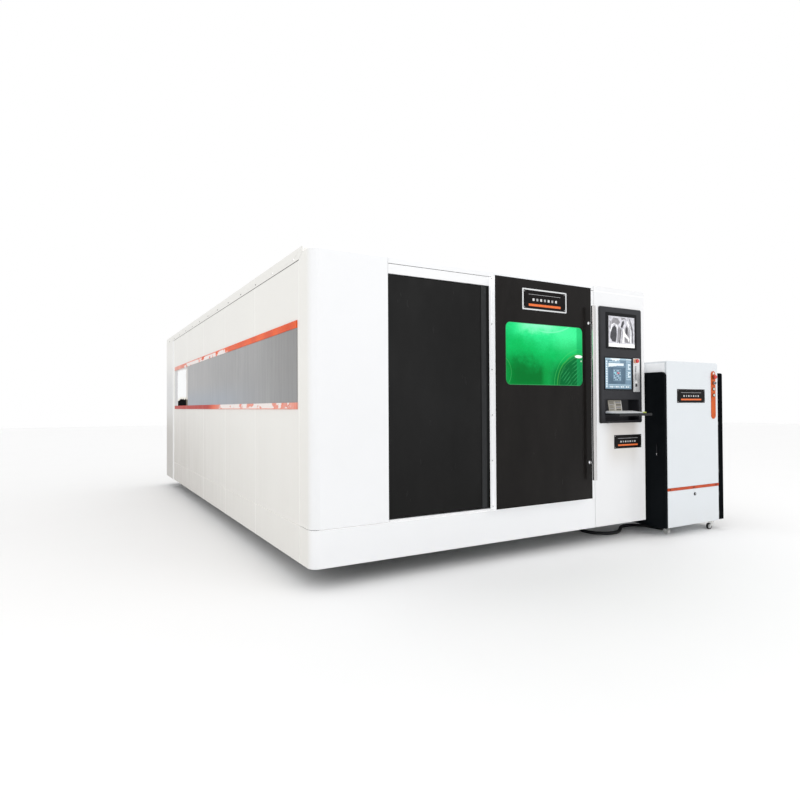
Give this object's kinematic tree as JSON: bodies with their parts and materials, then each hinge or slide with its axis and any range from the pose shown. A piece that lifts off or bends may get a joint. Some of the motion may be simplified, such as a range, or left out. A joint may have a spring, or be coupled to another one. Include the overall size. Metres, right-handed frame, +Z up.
{
  "type": "enclosed fiber laser cutting machine",
  "caption": "Enclosed flatbed laser cutting machine with a sliding front door, side window band, built-in control console and a separate wheeled laser cabinet joined by a floor conduit.",
  "frame": {"origin": "middle of the whole footprint, enclosure and cabinet together, on the floor under the levelling feet", "axes": "+X to the machine's right as seen from the front, +Y from the front doors towards the rear, +Z up"},
  "size_m": [4.628, 7.138, 2.5],
  "materials": {
    "white_paint": "satin powder coat",
    "orange_paint": "gloss",
    "black_paint": "gloss",
    "dark_paint": "satin",
    "frame_paint": "satin",
    "bed_paint": "satin",
    "brushed_grey": "brushed",
    "bright_steel": "satin",
    "zinc": "bright",
    "slat_steel": "mill, used",
    "plain_aluminium": "satin",
    "safety_glass": "gloss",
    "dark_plastic": "satin",
    "light_plastic": "gloss",
    "red_plastic": "gloss",
    "lens_plastic": "gloss",
    "hose_plastic": "ribbed",
    "wheel_rubber": "matt"
  },
  "bodies": {
    "enclosure": {"bed_frame": "bed_paint", "levelling_feet": "zinc", "wall_frame": "frame_paint", "front_corner_panel": "white_paint", "skirt_panels": "white_paint", "door_surround": "white_paint", "console_panel": "white_paint", "left_panels": "white_paint", "rear_corner_panel": "white_paint", "right_panels": "white_paint", "rear_panels": "white_paint", "roof_fascia": "white_paint", "roof_panels": "white_paint", "band_strips": "orange_paint", "band_panels": "brushed_grey", "panel_screws": "zinc", "console_bezel": "dark_paint", "monitor": "dark_plastic", "touch_panel": "dark_plastic", "button_strip": "plain_aluminium", "console_plate": "plain_aluminium", "slat_table": "slat_steel", "guide_rails": "bright_steel", "cabinet_body": "white_paint", "cabinet_stripe": "orange_paint", "cabinet_left_cover": "dark_paint", "cabinet_right_cover": "dark_paint", "laser_source": "frame_paint", "castor_brackets": "zinc", "cable_glands": "dark_plastic", "floor_conduit": "hose_plastic"},
    "sliding_door": {"door_frame": "white_paint", "door_front_panel": "black_paint", "door_window": "safety_glass", "door_plate": "plain_aluminium", "door_screws": "zinc", "door_handle": "bright_steel", "door_hangers": "zinc"},
    "leaf": {"inner_leaf": "black_paint"},
    "tray": {"keyboard_tray": "bright_steel", "keyboard": "light_plastic"},
    "console_stop": {"console_estop": "red_plastic"},
    "cabinet_door": {"cabinet_front_door": "white_paint", "control_strip": "orange_paint", "cabinet_plate": "plain_aluminium"},
    "lower_door": {"cabinet_lower_door": "white_paint"},
    "cabinet_stop": {"cabinet_estop": "red_plastic"},
    "selector": {"key_switch": "bright_steel"},
    "start": {"start_button": "lens_plastic"},
    "stop": {"stop_button": "lens_plastic"},
    "gantry": {"gantry_beam": "plain_aluminium", "gantry_motors": "dark_paint"},
    "cross_carriage": {"carriage": "plain_aluminium"},
    "head": {"cutting_head": "plain_aluminium"},
    "left_fork": {"front_left_fork": "zinc"},
    "right_fork": {"front_right_fork": "zinc"},
    "left_wheel": {"front_left_wheel": "wheel_rubber"},
    "right_wheel": {"front_right_wheel": "wheel_rubber"},
    "back_left_wheel": {"rear_left_wheel": "wheel_rubber"},
    "back_right_wheel": {"rear_right_wheel": "wheel_rubber"}
  },
  "joints": [
    {"name": "door_slide", "type": "slide", "parent": "enclosure", "child": "sliding_door", "axis": [1, 0, 0], "range_m": [-0.96, 0]},
    {"name": "leaf_slide", "type": "slide", "parent": "enclosure", "child": "leaf", "axis": [1, 0, 0], "range_m": [0, 1.08]},
    {"name": "tray_slide", "type": "slide", "parent": "enclosure", "child": "tray", "axis": [0, -1, 0], "range_m": [-0.15, 0.1]},
    {"name": "console_stop_press", "type": "slide", "parent": "enclosure", "child": "console_stop", "axis": [0, 1, 0], "range_m": [0, 0.0055], "stiffness_N_per_m": 900, "springref_m": -0.002},
    {"name": "cabinet_door_hinge", "type": "hinge", "parent": "enclosure", "child": "cabinet_door", "pos_m": [2.206, -3.525, 1.12], "axis": [0, 0, 1], "range_deg": [0, 110]},
    {"name": "lower_door_hinge", "type": "hinge", "parent": "enclosure", "child": "lower_door", "pos_m": [2.206, -3.525, 0.275], "axis": [0, 0, 1], "range_deg": [0, 110]},
    {"name": "cabinet_stop_press", "type": "slide", "parent": "cabinet_door", "child": "cabinet_stop", "axis": [0, 1, 0], "range_m": [0, 0.0055], "stiffness_N_per_m": 900, "springref_m": -0.002},
    {"name": "selector_turn", "type": "hinge", "parent": "cabinet_door", "child": "selector", "pos_m": [2.1145, -3.547, 1.545], "axis": [0, 1, 0], "range_deg": [0, 90]},
    {"name": "start_press", "type": "slide", "parent": "cabinet_door", "child": "start", "axis": [0, 1, 0], "range_m": [0, 0.003], "stiffness_N_per_m": 700, "springref_m": -0.002},
    {"name": "stop_press", "type": "slide", "parent": "cabinet_door", "child": "stop", "axis": [0, 1, 0], "range_m": [0, 0.003], "stiffness_N_per_m": 700, "springref_m": -0.002},
    {"name": "gantry_travel", "type": "slide", "parent": "enclosure", "child": "gantry", "axis": [0, 1, 0], "range_m": [-0.3, 4.9]},
    {"name": "cross_travel", "type": "slide", "parent": "gantry", "child": "cross_carriage", "axis": [1, 0, 0], "range_m": [-0.85, 0.85]},
    {"name": "head_travel", "type": "slide", "parent": "cross_carriage", "child": "head", "axis": [0, 0, 1], "range_m": [-0.08, 0.1]},
    {"name": "left_swivel", "type": "hinge", "parent": "enclosure", "child": "left_fork", "pos_m": [1.504, -3.443, 0.088], "axis": [0, 0, 1], "continuous": true},
    {"name": "right_swivel", "type": "hinge", "parent": "enclosure", "child": "right_fork", "pos_m": [2.151, -3.477, 0.088], "axis": [0, 0, 1], "continuous": true},
    {"name": "left_wheel_spin", "type": "hinge", "parent": "left_fork", "child": "left_wheel", "pos_m": [1.504, -3.403, 0.033], "axis": [1, 0, 0], "continuous": true},
    {"name": "right_wheel_spin", "type": "hinge", "parent": "right_fork", "child": "right_wheel", "pos_m": [2.11139, -3.47143, 0.033], "axis": [0.1392, 0.9903, 0], "continuous": true},
    {"name": "back_left_wheel_spin", "type": "hinge", "parent": "enclosure", "child": "back_left_wheel", "pos_m": [1.436, -2.711, 0.033], "axis": [1, 0, 0], "continuous": true},
    {"name": "back_right_wheel_spin", "type": "hinge", "parent": "enclosure", "child": "back_right_wheel", "pos_m": [2.118, -2.711, 0.033], "axis": [1, 0, 0], "continuous": true}
  ]
}
